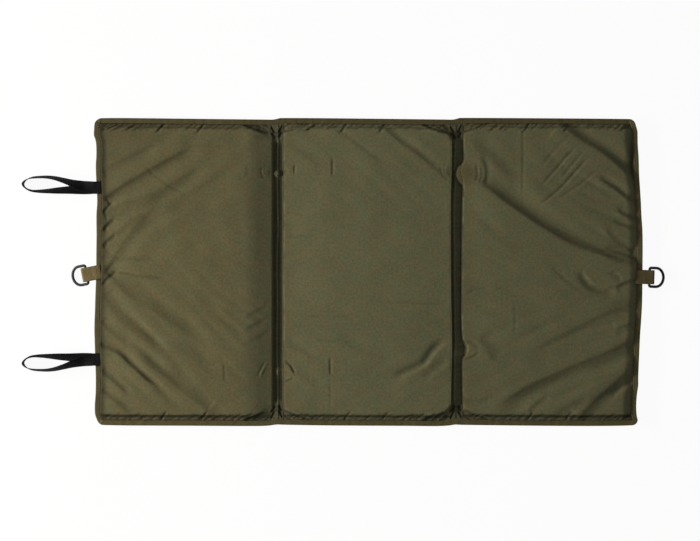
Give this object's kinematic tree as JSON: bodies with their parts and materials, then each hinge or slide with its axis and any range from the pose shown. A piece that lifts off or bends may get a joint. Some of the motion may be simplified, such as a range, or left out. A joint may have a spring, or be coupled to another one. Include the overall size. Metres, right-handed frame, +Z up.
{
  "type": "unhooking mat",
  "caption": "Padded fold-up fish unhooking mat in three panels with sewn fold channels, taped edge, elastic closing loops and webbing tabs with D-rings.",
  "frame": {"origin": "on the floor under the middle of the mat's 900 mm length and 508 mm depth, where mount base is", "axes": "+X along the row of three panels, away from the elastic loops; +Y across the mat; +Z up out of the padded face"},
  "size_m": [1.0645, 0.508, 0.0205],
  "materials": {
    "cover_cloth": "olive coated woven polyester, slight sheen",
    "base_cloth": "darker olive coated polyester underside",
    "foam": "grey closed-cell foam, hidden inside",
    "binding_tape": "matt brown-olive woven tape",
    "webbing": "matt khaki ribbed webbing",
    "elastic": "matt black woven elastic",
    "black_steel": "satin black coated wire"
  },
  "bodies": {
    "right_panel": {"right_foam_pad": "foam", "right_top_cover": "cover_cloth", "right_base_cover": "base_cloth", "right_fold_web": "cover_cloth", "right_binding": "binding_tape", "right_webbing_tab": "webbing"},
    "middle_panel": {"middle_foam_pad": "foam", "middle_top_cover": "cover_cloth", "middle_base_cover": "base_cloth", "left_fold_web": "cover_cloth", "middle_binding_back": "binding_tape", "middle_binding_front": "binding_tape"},
    "left_panel": {"left_foam_pad": "foam", "left_top_cover": "cover_cloth", "left_base_cover": "base_cloth", "left_binding": "binding_tape", "left_webbing_tab": "webbing", "back_elastic_anchor": "elastic", "front_elastic_anchor": "elastic"},
    "right_ring": {"right_d_ring": "black_steel"},
    "left_ring": {"left_d_ring": "black_steel"},
    "back_loop": {"back_elastic_loop": "elastic"},
    "front_loop": {"front_elastic_loop": "elastic"}
  },
  "joints": [
    {"name": "right_fold", "type": "hinge", "parent": "right_panel", "child": "middle_panel", "pos_m": [0.146, 0, 0.0195], "axis": [0, 1, 0], "range_deg": [0, 180]},
    {"name": "left_fold", "type": "hinge", "parent": "middle_panel", "child": "left_panel", "pos_m": [-0.151, 0, -0.0005], "axis": [0, -1, 0], "range_deg": [0, 180]},
    {"name": "left_ring_swing", "type": "hinge", "parent": "left_panel", "child": "left_ring", "pos_m": [-0.4661, -0.00413, 0.0095], "axis": [-0.1908, 0.9816, 0], "range_deg": [-75, 135]},
    {"name": "right_ring_swing", "type": "hinge", "parent": "right_panel", "child": "right_ring", "pos_m": [0.46639, -0.00857, 0.0095], "axis": [-0.0349, -0.9994, 0], "range_deg": [-75, 135]},
    {"name": "back_loop_flex", "type": "hinge", "parent": "left_panel", "child": "back_loop", "pos_m": [-0.455, 0.1393, 0.01305], "axis": [0, 1, 0], "range_deg": [-70, 120]},
    {"name": "front_loop_flex", "type": "hinge", "parent": "left_panel", "child": "front_loop", "pos_m": [-0.455, -0.1446, 0.01305], "axis": [0, 1, 0], "range_deg": [-70, 120]}
  ]
}
